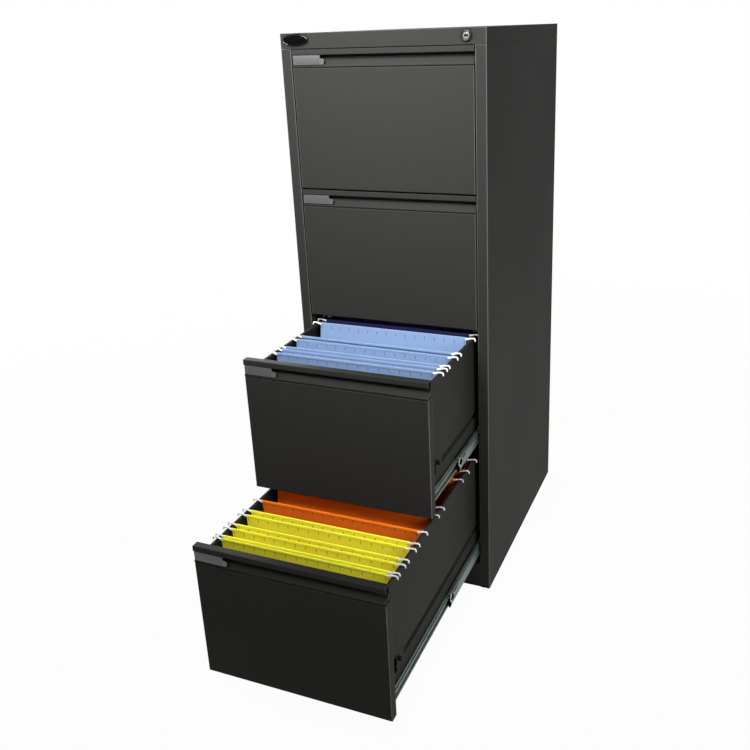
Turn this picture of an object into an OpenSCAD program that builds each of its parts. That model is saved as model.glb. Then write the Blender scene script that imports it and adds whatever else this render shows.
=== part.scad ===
// Four-drawer vertical filing cabinet in folded sheet steel.
// Each drawer runs on a pair of three-member ball slides; one lock holds all four.
// Frame: origin on the floor at the centre of the footprint, +Z up, drawers open towards -Y.
// The third and fourth drawers stand open and hold suspension files.

/* [Cabinet] */
// Width over the side panels
cab_w = 470; // [460:1:520]
// Depth from the drawer fronts to the back
cab_d = 620; // [610:5:700]
// Height from the floor to the top
cab_h = 1320; // [1290:5:1400]
// Width of the upright on each side of the drawers
stile_w = 24.5; // [24:0.5:30]
// Depth of the return behind each upright
stile_d = 25; // [18:1:27]
// Height of the band above the top drawer
header_h = 32.5; // [31:0.5:45]
// Height of the plinth below the bottom drawer
base_h = 68; // [60:1:90]
// Thickness of all folded sheet
sheet = 1; // [0.8:0.1:1.3]
// Radius of the folded edges
fold_r = 2; // [1.8:0.1:2.6]

/* [Drawer fronts] */
// Gap between a drawer front and the uprights
side_gap = 2; // [1:0.25:3]
// Gap between one drawer front and the next
front_gap = 2.5; // [2:0.25:4]
// Thickness of the hollow front
front_t = 20.5; // [19:0.5:24]
// Height of the lip that the fingers pull
lip_h = 12.3; // [10:0.1:13]
// Depth of the lip, front to back
lip_d = 17; // [15:0.5:17.5]
// Height of the finger recess under the lip
grip_h = 26.2; // [24:0.1:34]
// Length of the turned-back edge under the lip
lip_hem = 6; // [4:0.5:7]

/* [Drawers] */
// Length of a drawer body behind its front
body_l = 564; // [540:1:566]
// Gap from the top of the drawer sides to the top of the opening
head_gap = 20.875; // [19:0.125:40]
// How far the rear wall stops below the drawer sides
rear_drop = 36; // [20:1:80]
// Height of the drawer body above the bottom of its opening
body_z = 16; // [12:0.5:18]
// Height of the pressed groove's middle above the drawer's opening
bead_z = 90; // [84:1:98]
// Width of the pressed groove in the drawer sides
bead_w = 17; // [13:1:19]
// Depth of the pressed groove
bead_depth = 6; // [4:0.1:7]
// How far the third drawer stands open
open_3 = 304; // [120:1:540]
// How far the fourth drawer stands open
open_4 = 542; // [120:1:545]

/* [Slides] */
// Width that one closed slide takes up
slide_t = 12.7; // [12.5:0.1:13.5]
// Height of the fixed outer member
slide_h = 35; // [34:0.5:37]
// How much shorter the slide members are than the drawer body
slide_short = 6; // [4:1:24]
// Height of the slide's middle above the drawer's opening
slide_z = 39; // [36:0.5:42]

/* [Lock] */
// Distance of the lock from the cabinet's side
lock_edge = 42; // [40:0.5:50]
// Radius of the lock's bezel
bezel_r = 11; // [10.5:0.1:12]
// Radius of the turning plug
plug_r = 7; // [6:0.1:7.5]
// Distance from the plug's axis to its drive pin
crank_r = 9.9; // [9:0.1:10.5]

/* [Badge and labels] */
// Width of the blank oval badge
badge_w = 62; // [40:1:70]
// Height of the blank oval badge
badge_h = 24; // [16:1:26]
// Distance of the badge's middle from the cabinet's side
badge_edge = 38; // [38:1:80]
// Length of the clear label holder
label_l = 66; // [50:1:90]

/* [Suspension files] */
// Gap between a file's sheets and the drawer's side
file_gap = 13.8; // [12:0.1:24]
// Depth that a file hangs below its bars
file_drop = 236; // [200:1:250]
// Thickness of a file's sheet
file_t = 0.8; // [0.6:0.1:1.2]

/* [Hidden] */
$fn = 48;
DRAWERS = [1, 2, 3, 4];
DRAWER_PARTS = ["front", "handle", "tray", "sides", "label_holder", "slides_inner",
    "mid_left", "mid_right", "catch"];

// Cabinet
half_w = cab_w / 2;
half_d = cab_d / 2;
open_half = half_w - stile_w;
in_half = half_w - sheet;
pitch = (cab_h - header_h - base_h) / len(DRAWERS);
cap_z = cab_h - header_h;
seam = 0.4;
back_y = half_d - sheet;
rear_flange = 20;
panel_clear = 0.5;
pan_z = 12;
foot_r = 15;
foot_inset = [45, 75];
base_flange = 25;
stile_clear = 0.2;
rail_back_y = -half_d + stile_d + sheet;

// Drawer front, in the drawer's own frame: y from the front face, z from its opening's bottom
front_half = open_half - side_gap;
face_bottom = front_gap / 2;
face_top = pitch - front_gap / 2 - lip_h - grip_h;
lip_top = pitch - front_gap / 2;
grip_wall = 7;
grip_edge = 1.4;
roll_h = 2.6;

// Drawer sides
body_h = pitch - body_z - head_gap;
rear_h = body_h - rear_drop;
side_foot = 8;
rail_w = 6;
rail_h = 8;
bead_y = 90;
slot_y = 43;
slot_w = 13;
slot_h = 36;
side_slot_z = 74;

// Slides
run_half = open_half - slide_t;
slide_y = front_t + 0.5;
slide_l = body_l - slide_short;
post_w = 40;
post_inset = 70;
post_end = 69;
post_front_y = -half_d + post_inset;
post_rear_y = -half_d + slide_y + slide_l - post_end;
ball_clear = 0.3;
mid_drop = 6;
inner_drop = 15;
mid_h = slide_h - mid_drop;
inner_h = slide_h - inner_drop;
mid_gap = 0.8;
outer_lip = 3.7;
mid_lip = 3.2;
inner_lip = 7.7;
cage_out_x = [5, 8.5];
cage_in_x = [4.2, 7.2];
cage_end = 4;
race_l = 280;
latch_l = 14;
latch_t = 2.2;
latch_arm = [2, 3];
latch_wall = 3;
mid_l = slide_l - latch_l;

// How far each drawer is open, and the share of it that its intermediate members have moved
OPEN = [0, 0, open_3, open_4];
MID_SHARE = [0.5, 0.5, 0.58, 0.46];

// Lock
lock_x = half_w - lock_edge;
lock_z = cap_z + 17.5;
lock_depth = stile_d + 2;
bar_t = 2.5;
bar_x = open_half + sheet + 0.8;
bar_w = 29;
bar_y = -half_d + stile_d + 5.5;
bar_lift = 2 * crank_r * sin(45);
catch_y = 60;
catch_t = 6;
catch_h = 7;
catch_z = side_slot_z + 21;
catch_gap = 0.5;
catch_reach = 9.2;
tab_h = 8;
tab_t = 3;
stop_clear = 5;
tab_z = catch_z - 0.5 + catch_h - tab_h - bar_lift;
pin_r = 2;
pin_clear = 0.6;
fork_arm = 3;
guide_h = 20;
guide_clear = 0.3;

// Suspension files: the front and rear bar of each file, behind the drawer's front face
BLUE = [[94, 117], [133, 183], [206, 302]];
NAVY = [[328, 356]];
YELLOW = [[63, 73], [101, 118], [156, 175]];
ORANGE = [[218, 286], [317, 442], [484, 540]];
file_half = run_half - file_gap;
bar_seat = body_z + body_h + 0.3;
hook_t = 3;
hook_h = 4;
hook_out = 8.5;
hook_drop = 12;

function slot_z(n) = base_h + (len(DRAWERS) - n) * pitch;
function unit(v) = v / norm(v);
function side_of(v) = [-v[1], v[0]];

// The turning angle from a to b, between -180 and 180 degrees
function turn(a, b) = atan2(a[0] * b[1] - a[1] * b[0], a[0] * b[0] + a[1] * b[1]);

// Points of a fold of radius r where the line a-b-c bends at b
function fold(a, b, c, r, steps = 4) =
    let (u = unit(a - b), w = unit(c - b), half = acos(u * w) / 2,
         centre = b + unit(u + w) * r / sin(half),
         first = b + u * r / tan(half) - centre,
         last = b + w * r / tan(half) - centre,
         swing = turn(first, last))
    [for (i = [0:steps])
        let (t = i / steps * swing)
        centre + [first[0] * cos(t) - first[1] * sin(t), first[0] * sin(t) + first[1] * cos(t)]];

// The path with each of its inner corners folded to radius r
function folded(path, r) = concat([path[0]],
    [for (i = [1:len(path) - 2], p = fold(path[i - 1], path[i], path[i + 1], r)) p],
    [path[len(path) - 1]]);

// The path shifted to its left by t, with mitred corners
function shifted(path, t) = [for (i = [0:len(path) - 1])
    let (last = len(path) - 1,
         before = unit(i == 0 ? path[1] - path[0] : path[i] - path[i - 1]),
         after = unit(i == last ? path[last] - path[last - 1] : path[i + 1] - path[i]),
         n1 = side_of(before), n2 = side_of(after))
    path[i] + (n1 + n2) * t / (1 + n1 * n2)];

// A folded strip of sheet: the area between a path and the same path shifted to its left
module strip(path, t = sheet, r = fold_r) {
    outer = folded(path, r);
    inner = shifted(outer, t);
    polygon(concat(outer, [for (i = [len(inner) - 1:-1:0]) inner[i]]));
}

// A 2D shape drawn as (y, z), drawn out along X from -half to half
module along_x(half) {
    rotate([90, 0, 90]) translate([0, 0, -half]) linear_extrude(2 * half) children();
}

// A 2D shape drawn as (x, z), drawn out along Y from y0 to y1
module along_y(y0, y1) {
    translate([0, y1, 0]) rotate([90, 0, 0]) linear_extrude(y1 - y0) children();
}

// A box between two opposite corners
module block(a, b) {
    translate(a) cube(b - a);
}

// A cylinder along +Y from y0 to y1
module rod_y(x, z, y0, y1, r) {
    translate([x, y0, z]) rotate([-90, 0, 0]) cylinder(h = y1 - y0, r = r);
}

module round_rect(half_x, half_y, r) {
    polygon([for (c = [[1, 1, 0], [-1, 1, 90], [-1, -1, 180], [1, -1, 270]], i = [0:4])
        [c[0] * (half_x - r), c[1] * (half_y - r)]
            + r * [cos(c[2] + i * 22.5), sin(c[2] + i * 22.5)]]);
}

module both_sides() {
    children();
    mirror([1, 0, 0]) children();
}

// Places its children in the frame of drawer n, at the place where that drawer stands
module in_drawer(n) {
    translate([0, -half_d - OPEN[n - 1], slot_z(n)]) children();
}

/* ---- cabinet ---- */

module side_panel() {
    linear_extrude(cap_z - seam) strip([
        [half_w - rear_flange, half_d],
        [half_w, half_d],
        [half_w, -half_d],
        [open_half, -half_d],
        [open_half, -half_d + stile_d]
    ], -sheet);
}

module side_left() {
    color("#3b3b3a") mirror([1, 0, 0]) side_panel();
}

module side_right() {
    color("#3b3b3a") side_panel();
}

module back_panel() {
    half = half_w - fold_r - panel_clear;
    color("#343433") block([-half, back_y - sheet, 0], [half, back_y, cap_z - seam]);
}

module top_cap() {
    color("#3f3f3e") difference() {
        union() {
            translate([0, 0, cap_z]) linear_extrude(header_h - sheet) difference() {
                round_rect(half_w, half_d, fold_r);
                round_rect(in_half, half_d - sheet, fold_r - sheet);
            }
            translate([0, 0, cab_h - sheet]) linear_extrude(sheet / 2) round_rect(half_w, half_d, fold_r);
            hull() {
                translate([0, 0, cab_h - sheet / 2]) linear_extrude(0.01) round_rect(half_w, half_d, fold_r);
                translate([0, 0, cab_h - 0.01]) linear_extrude(0.01)
                    round_rect(half_w - sheet / 2, half_d - sheet / 2, fold_r);
            }
            block([-open_half, -half_d + sheet / 2, cap_z],
                [open_half, -half_d + stile_d - sheet, cap_z + sheet]);
        }
        rod_y(lock_x, lock_z, -half_d - 1, -half_d + sheet + 1, bezel_r - 1.8);
    }
}

module header_rail() {
    color("#343433") difference() {
        along_x(open_half - 1) strip([
            [-half_d + stile_d + 4, cab_h - sheet],
            [-half_d + stile_d - sheet, cab_h - sheet],
            [-half_d + stile_d - sheet, cap_z]
        ], sheet);
        rod_y(lock_x, lock_z, -half_d, -half_d + stile_d + 2, bezel_r - 1.8);
    }
}

// Plinth rail across the front, with a floor pan whose edges turn down and in to the floor
module base_frame() {
    pan_half = in_half - panel_clear;
    pan_back = back_y - sheet;
    color("#343433") {
        linear_extrude(sheet) difference() {
            translate([-pan_half, -half_d + stile_d - sheet])
                square([2 * pan_half, pan_back + half_d - stile_d + sheet]);
            translate([-pan_half + base_flange, rail_back_y + base_flange])
                square([2 * (pan_half - base_flange), pan_back - rail_back_y - 2 * base_flange]);
            for (x = [-half_w, open_half - stile_clear])
                translate([x, -half_d]) square([stile_w + stile_clear, stile_d + stile_clear]);
        }
        for (x = [-pan_half, pan_half - sheet])
            block([x, -half_d + stile_d + stile_clear, 0], [x + sheet, pan_back, pan_z]);
        along_x(open_half - stile_clear) strip([
            [-half_d + stile_d, 0],
            [-half_d, 0],
            [-half_d, base_h - 2],
            [-half_d + stile_d + sheet, base_h - 2],
            [-half_d + stile_d + sheet, pan_z]
        ], -sheet);
        block([-pan_half, rail_back_y, pan_z], [pan_half, pan_back, pan_z + sheet]);
        along_x(pan_half) strip([
            [pan_back - base_flange, pan_z + sheet],
            [pan_back, pan_z + sheet],
            [pan_back, base_h - 10]
        ], sheet);
    }
}

module glides() {
    color("#1d1d1d") for (x = [-1, 1], y = [-1, 1]) {
        translate([x * (half_w - foot_inset[0]), y * (half_d - foot_inset[1]), 0]) {
            cylinder(h = pan_z / 2, r = foot_r);
            cylinder(h = pan_z, r = foot_r - 5);
        }
    }
}

// The front and rear uprights that carry the slides of one side
module posts() {
    for (y = [post_front_y, post_rear_y]) {
        linear_extrude(cap_z - pan_z - 2 * sheet) strip([
            [in_half, y],
            [open_half, y],
            [open_half, y + post_w],
            [in_half, y + post_w]
        ], -sheet);
    }
}

module posts_right() {
    color("#343433") translate([0, 0, pan_z + sheet]) posts();
}

module posts_left() {
    color("#343433") translate([0, 0, pan_z + sheet]) mirror([1, 0, 0]) posts();
}

/* ---- slides ---- */

// A slide member's section: a web at web_x and two flanges that reach to lip_x
module channel(web_x, lip_x, h) {
    strip([
        [lip_x, -h / 2],
        [web_x, -h / 2],
        [web_x, h / 2],
        [lip_x, h / 2]
    ], web_x > lip_x ? sheet : -sheet);
}

module slide_outers() {
    for (n = DRAWERS) {
        translate([0, 0, slot_z(n) + slide_z])
            along_y(-half_d + slide_y, -half_d + slide_y + slide_l)
                channel(open_half, run_half + outer_lip, slide_h);
    }
}

module slide_outers_right() {
    color("#8b9490") slide_outers();
}

module slide_outers_left() {
    color("#8b9490") mirror([1, 0, 0]) slide_outers();
}

// Intermediate member with its ball cages and the hooked stop on its front end
module slide_mid(n) {
    web = open_half - sheet - mid_gap;
    cage_out = (slide_h - mid_h) / 2 - sheet - ball_clear;
    cage_in = (mid_h - inner_h) / 2 - sheet - ball_clear;
    shift = OPEN[n - 1] * MID_SHARE[n - 1];
    front_y = -half_d + slide_y + latch_l - shift;
    translate([0, front_y, slot_z(n) + slide_z]) {
        along_y(0, mid_l) channel(web, run_half + mid_lip, mid_h);
        for (s = [-1, 1]) {
            z_out = s * (mid_h / 2 + cage_out / 2);
            z_in = s * (mid_h / 2 - sheet - cage_in / 2);
            block([run_half + cage_out_x[0], mid_l - race_l, z_out - cage_out / 2],
                [run_half + cage_out_x[1], mid_l - cage_end, z_out + cage_out / 2]);
            block([run_half + cage_in_x[0], cage_end, z_in - cage_in / 2],
                [run_half + cage_in_x[1], race_l, z_in + cage_in / 2]);
        }
        latch(web);
    }
}

// Hooked stop: a ring segment and a tongue standing in front of the member
module latch(web) {
    ring_r = latch_l - latch_wall;
    block([web - latch_t, -latch_arm[0], 2], [web - sheet, latch_arm[1], mid_h / 2 - latch_wall]);
    translate([web - latch_t, 1, -ring_r / 2]) rotate([0, 90, 0]) difference() {
        cylinder(h = latch_t - sheet + 1, r = ring_r);
        translate([0, 0, -1]) cylinder(h = 5, r = ring_r - latch_wall);
        block([-ring_r - 1, 0, -1], [ring_r + 1, ring_r + 1, 5]);
    }
}

// The member fixed to each side of the drawer
module slides_inner(n) {
    color("#98a29d") in_drawer(n) both_sides() translate([0, 0, slide_z])
        along_y(slide_y, slide_y + slide_l) channel(run_half, run_half + inner_lip, inner_h);
}

module mid_left(n) {
    color("#8b9490") mirror([1, 0, 0]) slide_mid(n);
}

module mid_right(n) {
    color("#8b9490") slide_mid(n);
}

/* ---- drawers ---- */

// Hollow front: a pan with folded edges, open at the back
module front(n) {
    color("#333332") in_drawer(n) difference() {
        intersection() {
            translate([0, 0, face_bottom]) linear_extrude(face_top - face_bottom)
                translate([0, front_t, 0]) round_rect(front_half, front_t, fold_r);
            along_x(front_half) translate([front_t, (face_bottom + face_top) / 2])
                round_rect(front_t, (face_top - face_bottom) / 2, fold_r);
            block([-front_half, 0, face_bottom], [front_half, front_t, face_top]);
        }
        block([-front_half + sheet, sheet, face_bottom + sheet],
            [front_half - sheet, front_t + 1, face_top - sheet]);
    }
}

// Pull lip and finger recess: one folded strip across the top of the front
module handle(n) {
    color("#3a3a39") in_drawer(n) along_x(front_half) strip([
        [lip_hem, lip_top - lip_h],
        [0, lip_top - lip_h],
        [0, lip_top],
        [lip_d, lip_top],
        [lip_d, lip_top - lip_h - grip_wall],
        [grip_edge, face_top + sheet + roll_h],
        [grip_edge, face_top + sheet],
        [lip_d, face_top + sheet]
    ], -sheet, 1.5);
}

// Floor, inner front and rear wall of the drawer
module tray(n) {
    inner = run_half - sheet - panel_clear;
    floor_z = body_z + sheet;
    color("#2f2f2e") in_drawer(n) {
        block([-inner, front_t, floor_z], [inner, front_t + body_l, floor_z + sheet]);
        block([-run_half, front_t, body_z], [run_half, front_t + sheet, body_z + body_h]);
        block([-run_half, front_t + body_l - sheet, body_z], [run_half, front_t + body_l, body_z + rear_h]);
    }
}

// Section of a drawer side from its bottom edge to its top, in (x, z)
module side_section(beaded) {
    top = body_z + body_h;
    low = bead_z - bead_w / 2;
    high = bead_z + bead_w / 2;
    groove = beaded ? [[run_half, low], [run_half - bead_depth, low + 4],
        [run_half - bead_depth, high - 2], [run_half, high]] : [];
    strip(concat([[run_half - side_foot, body_z], [run_half, body_z]], groove,
        [[run_half, top], [run_half - rail_w, top], [run_half - rail_w, top - rail_h]]), sheet, 1.5);
}

module drawer_side() {
    difference() {
        union() {
            along_y(front_t + sheet, bead_y) side_section(false);
            along_y(bead_y, front_t + body_l - sheet) side_section(true);
        }
        block([run_half - 3, slot_y, side_slot_z], [run_half + 1, slot_y + slot_w, side_slot_z + slot_h]);
    }
}

module sides(n) {
    color("#383837") in_drawer(n) both_sides() drawer_side();
}

// Clear clip in the left end of the finger recess, for a title card
module label_holder(n) {
    z0 = face_top + sheet + roll_h + 2.8;
    z1 = lip_top - lip_h - 0.3;
    x0 = -front_half + 1.5;
    x1 = x0 + label_l;
    h = z1 - z0;
    color("#9fb0bd") in_drawer(n) {
        along_y(0.6, 2) polygon([
            [x0, z0], [x1 + 7, z0], [x1 + 9, z0 + 3], [x1 + 10, z0 + h * 0.5],
            [x1 + 7, z0 + h * 0.62], [x1, z0 + h * 0.66], [x1, z1], [x0, z1]
        ]);
        block([x0, 2, z1 - 1.2], [x1, lip_d - sheet - 0.1, z1]);
    }
}

// Block on the right-hand side that the lock bar stops
module catch(n) {
    color("#8b9490") in_drawer(n)
        block([run_half, catch_y, catch_z], [run_half + catch_reach, catch_y + catch_t, catch_z + catch_h]);
}

/* ---- lock ---- */

module lock_housing() {
    color("#c9cac8") {
        difference() {
            union() {
                rod_y(lock_x, lock_z, -half_d - 2.5, -half_d, bezel_r);
                rod_y(lock_x, lock_z, -half_d - 0.5, -half_d + lock_depth, bezel_r - 2);
                rod_y(lock_x, lock_z, -half_d + stile_d + 0.2, -half_d + lock_depth, bezel_r);
            }
            rod_y(lock_x, lock_z, -half_d - 3, -half_d + lock_depth + 1, plug_r + 0.08);
        }
    }
}

module lock_plug() {
    a = -45;
    px = lock_x + crank_r * cos(a);
    pz = lock_z + crank_r * sin(a);
    rear = -half_d + lock_depth;
    color("#d5d5d2") difference() {
        union() {
            rod_y(lock_x, lock_z, -half_d - 3.4, rear + 3, plug_r);
            hull() {
                rod_y(lock_x, lock_z, rear + 0.4, rear + 3, plug_r);
                rod_y(px, pz, rear + 0.4, rear + 3, pin_r + 2);
            }
            rod_y(px, pz, rear + 1, rear + 8, pin_r);
        }
        block([lock_x - 3.3, -half_d - 4, lock_z - 1.4], [lock_x + 3.3, -half_d + 12, lock_z + 1.4]);
    }
}

// Half the height of the fork's slot, and the height of the drive pin when unlocked
function fork_half() = pin_r + pin_clear;
function pin_z() = lock_z - crank_r * sin(45);

// Flat strip that slides up and down behind the right-hand upright
module lock_bar() {
    color("#8b9490") block([bar_x, bar_y, slot_z(4) + tab_z - 2],
        [bar_x + bar_t, bar_y + bar_w, pin_z() + fork_half() + fork_arm]);
}

// Slotted arm welded to the strip, which the plug's drive pin lifts
module lock_fork() {
    reach = fork_half() + fork_arm;
    color("#8b9490") difference() {
        block([lock_x + 2, bar_y, pin_z() - reach], [bar_x, bar_y + tab_t, pin_z() + reach]);
        block([lock_x + 1, bar_y - 1, pin_z() - fork_half()],
            [lock_x + crank_r + pin_r + 1, bar_y + tab_t + 1, pin_z() + fork_half()]);
    }
}

// One tab for each drawer, welded to the strip
module lock_stops() {
    y = -half_d + catch_y - catch_gap - tab_t;
    color("#8b9490") for (n = DRAWERS) {
        z = slot_z(n) + tab_z;
        block([run_half + stop_clear, y, z], [bar_x, y + tab_t, z + tab_h]);
    }
}

module bar_guides() {
    x = bar_x + bar_t + guide_clear;
    y0 = bar_y - guide_clear;
    y1 = bar_y + bar_w + guide_clear;
    color("#d8d8d4") for (n = DRAWERS) {
        z = slot_z(n) + pitch / 2;
        block([x, y0 - 2.5, z], [in_half, y1 + 3, z + guide_h]);
        block([x - bar_t - 1, y0 - 2.5, z], [x, y0, z + guide_h]);
        block([x - bar_t - 1, y1, z], [x, y1 + 3, z + guide_h]);
    }
}

module badge() {
    color("#0e0e0f") translate([-half_w + badge_edge, -half_d, lock_z]) rotate([90, 0, 0]) {
        linear_extrude(1.6) oval(badge_w / 2, badge_h / 2);
        translate([0, 0, 1.6]) linear_extrude(1) oval(badge_w / 2 - 1.6, badge_h / 2 - 1.6);
    }
}

module oval(a, b) {
    polygon([for (i = [0:59]) [a * cos(6 * i), b * sin(6 * i)]]);
}

/* ---- suspension files ---- */

// Folded sheets hanging from pairs of bars
module hanging_files(bars) {
    top = bar_seat + hook_h - 0.5;
    for (b = bars) {
        middle = (b[0] + b[1]) / 2;
        along_x(file_half) strip([
            [b[0] - file_t / 2, top],
            [middle - 2.4, top - file_drop],
            [middle + 2.4, top - file_drop],
            [b[1] + file_t / 2, top]
        ], file_t, 1.2);
    }
}

module files_blue() {
    color("#8db0e4") in_drawer(3) hanging_files(BLUE);
}

module files_navy() {
    color("#1c1a3c") in_drawer(3) hanging_files(NAVY);
}

module files_yellow() {
    color("#cfc81f") in_drawer(4) hanging_files(YELLOW);
}

module files_orange() {
    color("#c45f14") in_drawer(4) hanging_files(ORANGE);
}

// The hooked ends of the file bars, hanging on the drawer's two sides
module hooks(bars) {
    tip = run_half + hook_out;
    root = file_half + 0.2;
    for (b = bars, y = b) {
        both_sides() along_y(y - hook_t / 2, y + hook_t / 2) polygon([
            [root, bar_seat + hook_h],
            [tip - 3, bar_seat + hook_h],
            [tip - 0.8, bar_seat + hook_h - 1],
            [tip, bar_seat + hook_h - 3.5],
            [tip, bar_seat + hook_h - hook_drop],
            [tip - 2.6, bar_seat + hook_h - hook_drop],
            [tip - 2.8, bar_seat + 0.6],
            [tip - 3.6, bar_seat],
            [run_half - 7, bar_seat],
            [run_half - 8.5, bar_seat - 3],
            [root, bar_seat - 3]
        ]);
    }
}

module file_hooks_3() {
    color("#f2f2f0") in_drawer(3) hooks(concat(BLUE, NAVY));
}

module file_hooks_4() {
    color("#f2f2f0") in_drawer(4) hooks(concat(YELLOW, ORANGE));
}

side_left();
side_right();
back_panel();
top_cap();
header_rail();
base_frame();
glides();
posts_left();
posts_right();
slide_outers_left();
slide_outers_right();
bar_guides();
lock_housing();
lock_plug();
lock_bar();
lock_fork();
lock_stops();
badge();
for (n = DRAWERS) {
    front(n);
    handle(n);
    tray(n);
    sides(n);
    label_holder(n);
    slides_inner(n);
    mid_left(n);
    mid_right(n);
    catch(n);
}
files_blue();
files_navy();
files_yellow();
files_orange();
file_hooks_3();
file_hooks_4();
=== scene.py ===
"""Finishes, small fittings, light and camera for a four-drawer filing cabinet.

The cabinet's solids come in as a fixed frame, in metres, with +Z up and the drawers opening towards -Y.
Every other piece here is worked out from where those solids are.
"""

import math

import bmesh
import bpy
import numpy as np
from bpy.props import FloatProperty, FloatVectorProperty, IntProperty, PointerProperty
from mathutils import Matrix, Vector


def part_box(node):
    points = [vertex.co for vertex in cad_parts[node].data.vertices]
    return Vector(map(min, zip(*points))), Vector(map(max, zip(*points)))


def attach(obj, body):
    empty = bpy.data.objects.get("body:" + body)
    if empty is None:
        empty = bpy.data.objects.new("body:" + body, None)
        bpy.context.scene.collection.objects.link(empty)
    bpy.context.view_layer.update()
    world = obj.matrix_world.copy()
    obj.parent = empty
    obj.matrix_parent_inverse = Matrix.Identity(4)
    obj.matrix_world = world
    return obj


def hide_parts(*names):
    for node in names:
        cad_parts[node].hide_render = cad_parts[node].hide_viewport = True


bl_info = {
    "name": "Filing cabinet dressing",
    "version": (1, 0, 0),
    "blender": (4, 5, 0),
    "location": "View3D > Sidebar > Filing cabinet",
    "description": "Powder coat, ball slides, hanging file bars and studio for a steel filing cabinet",
    "category": "Object",
}

MM = 0.001
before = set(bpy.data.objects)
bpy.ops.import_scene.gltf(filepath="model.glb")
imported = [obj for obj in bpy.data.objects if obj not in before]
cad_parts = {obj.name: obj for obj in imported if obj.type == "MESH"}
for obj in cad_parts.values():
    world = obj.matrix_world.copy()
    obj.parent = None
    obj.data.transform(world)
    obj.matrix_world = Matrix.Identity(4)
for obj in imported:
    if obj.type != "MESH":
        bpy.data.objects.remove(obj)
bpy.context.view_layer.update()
DRAWERS = (1, 2, 3, 4)
HANDS = (("left", -1), ("right", 1))
FILES = {3: ("files_blue", "files_navy"), 4: ("files_yellow", "files_orange")}

# Faces that meet at a greater angle than this keep a sharp edge between them
SHARP = math.radians(35)

# The ball slides, which follow from the solids they replace
FLANGE = 7.7 * MM  # depth of a member's flanges
FOLD = 1.1 * MM  # radius of a member's folds
RUNNER_WALL = 1.1 * MM  # thickness of the members on the drawer
CAGE_OUT = 1.7 * MM  # how far the outer cages stand past the flanges
CAGE_LENGTH = 280 * MM
CAGE_END = 4 * MM  # from the end of a member to its cage
BALL_END = 8 * MM  # from the end of a cage to its first ball
LEVER_ROOM = 18 * MM  # from the front of the solid's box back to the rolled strip
LEVER_PROUD = 0.15 * MM  # how far a lever stands out of the web
RIVET_END = 38 * MM  # from the end of a member to its first rivet
RIVETS = 4
SUNK = 0.1 * MM  # how far a head is let into the face it stands on

# The latch at the front end of the web, as (y, z) from the middle of that end, and its levers, each as half
# its length, half its height, the radius of its corners, and its middle in y and z, all in millimetres
LATCH = ((5, 13), (-3, 9), (-5, 2), (0, -4.5), (5, -8.5), (7, -13.5))
LEVERS = ((5, 8, 3.5, -7.5, 0.5), (6, 4, 3, -2, -11), (8, 5.2, 4.5, 12, 1), (11, 1.5, 1.4, 38, 4.5))

# The hanging files: the faces are painted darker, as shade, and the hems lighter, as light
SHADED_FACE_SHARE, LIT_HEM_SHARE = 0.94, 1.08
HEM_LIFT = 0.3 * MM  # how far a hem stands over the top of its card
SLOT_DROP = 11 * MM  # from the top of a card to the middle of its slots
HOOK_DROP = 9 * MM  # from the top of a hook to its tip

# The badge, as (share of the radius, height in millimetres), from its back round the rim to the dome's start
BADGE_RIM = ((1.0, 0.0), (1.0, 1.1), (0.985, 1.55), (0.96, 1.7), (0.93, 1.5), (0.91, 1.1))
DOME_SHARE = 0.9

# A black ring round the lock's plug, painted shade for the gap there, as (radius, height) in millimetres
GAP_SHADE_RING = ((7.3, -0.2), (7.3, 0.25), (7.5, 0.4), (8.1, 0.4), (8.3, 0.25), (8.3, -0.2), (7.3, -0.2))

# The softboxes: name, size, place and target in metres, and spread in degrees
LAMPS = (
    ("key", 0.9, (-0.25, -1.5, 2.1), (0.0, -0.31, 1.5), 76),
    ("top", 1.2, (0.35, -1.5, 2.4), (0.05, -0.55, 0.45), 180),
    ("side", 0.8, (1.6, -1.0, 0.95), (0.2, -0.42, 0.35), 70),
    ("back", 1.6, (-1.8, 1.6, 2.0), (-0.1, 0.1, 0.7), 180),
)

# The camera: its place in metres, its angles in radians, and its shift in widths of the view
CAMERA_PLACE = (0.76645, -2.01471, 1.32536)
CAMERA_DOWN, CAMERA_ROLL, CAMERA_TURN = 0.33569, 0.0352, 0.3928
CAMERA_SHIFT = (-0.0536, -0.0688)
SENSOR_WIDTH = 36.0

# The floor: half its width, and between which distances from the middle it stops keeping the shadow
FLOOR_HALF = 8.0
SHADOW_NEAR, SHADOW_FAR = 1.2, 3.0
WHITE = (1, 1, 1, 1)


# ---- colour ----


def srgb(code):
    """Linear RGBA of an sRGB hex value: c / 12.92 up to 0.04045, and ((c + 0.055) / 1.055) ^ 2.4 above."""
    c = np.array([int(code[i : i + 2], 16) for i in (1, 3, 5)]) / 255
    c = np.where(c <= 0.04045, c / 12.92, ((c + 0.055) / 1.055) ** 2.4)
    return (*(float(v) for v in c), 1.0)


def shade(base, share):
    """A colour made lighter or darker by a share of its light."""
    return (*(min(1.0, share * c) for c in base[:3]), 1.0)


def colour(name, code, text):
    """A colour setting whose default is an sRGB hex value."""
    return FloatVectorProperty(
        name=name, description=text, subtype="COLOR", size=4, min=0, max=1, default=srgb(code)
    )


def length(name, mm, text):
    """A length setting, given in millimetres and held in metres."""
    return FloatProperty(name=name, description=text, unit="LENGTH", min=0, default=mm * MM)


def power(name, watts, text):
    """A lamp's power setting, in watts."""
    return FloatProperty(name=name, description=text, unit="POWER", min=0, default=watts)


# ---- settings ----


class SteelSettings(bpy.types.PropertyGroup):
    shell: colour("Shell", "#282827", "Graphite powder coat on the cabinet and the drawer fronts")
    inside: colour("Inside", "#252524", "Graphite powder coat on the drawer bodies")
    zinc: colour("Zinc", "#76837e", "Zinc plating on the slides and the lock bar")
    nickel: colour("Nickel", "#8b8981", "Nickel plating on the lock")
    ripple: length("Ripple", 1.4, "Distance between the bumps of the powder coat")
    # Over this radius the folds are also lightened as a painted highlight
    edge: length("Edge", 2.0, "Radius of the folds, over which the coat is thinner and paler")


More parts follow.
